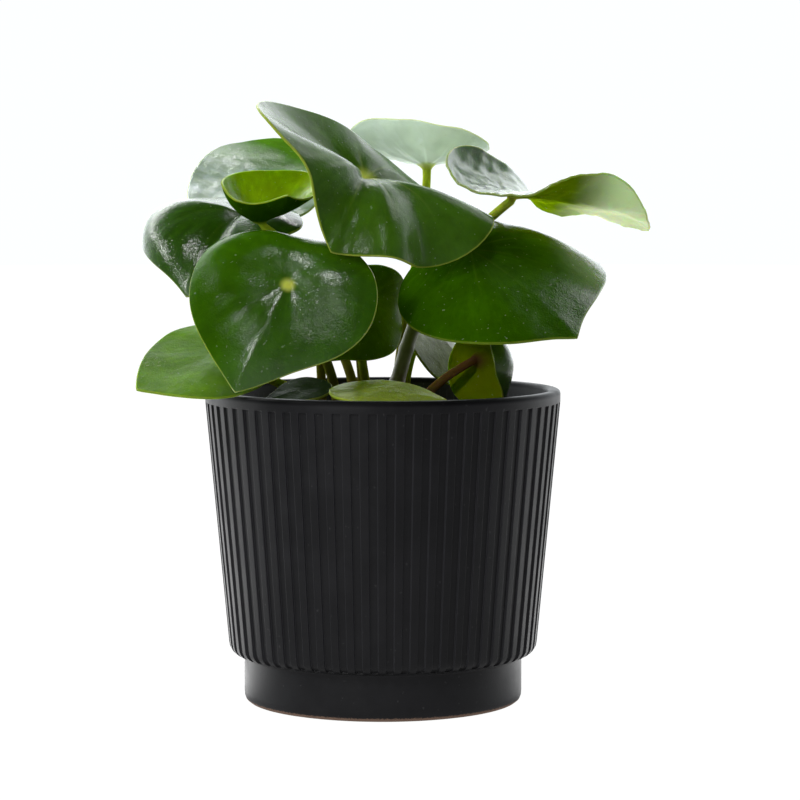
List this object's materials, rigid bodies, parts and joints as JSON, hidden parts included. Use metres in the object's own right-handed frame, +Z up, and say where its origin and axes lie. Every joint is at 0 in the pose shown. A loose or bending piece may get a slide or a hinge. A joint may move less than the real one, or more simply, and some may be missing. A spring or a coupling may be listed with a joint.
{
  "type": "potted house plant",
  "caption": "Leafy house plant with large glossy drip-tipped leaves on slender stalks, in a straight fluted round pot that stands on its flat foot.",
  "frame": {"origin": "centre of the pot's flat underside", "axes": "+Z up along the pot's axis; -Y is the front, with the two largest front leaves"},
  "size_m": [0.1935, 0.154, 0.2274],
  "materials": {
    "black_clay": "matte",
    "potting_soil": "rough",
    "stem_green": "satin",
    "leaf_green": "glossy"
  },
  "bodies": {
    "root": {"pot": "black_clay", "soil": "potting_soil", "stem": "stem_green", "leaf_a": "leaf_green", "leaf_b": "leaf_green", "leaf_c": "leaf_green", "leaf_d": "leaf_green", "leaf_e": "leaf_green", "leaf_f": "leaf_green", "leaf_g": "leaf_green", "leaf_h": "leaf_green", "leaf_i": "leaf_green", "leaf_j": "leaf_green", "leaf_k": "leaf_green", "leaf_l": "leaf_green", "leaf_m": "leaf_green", "leaf_n": "leaf_green"}
  },
  "joints": []
}
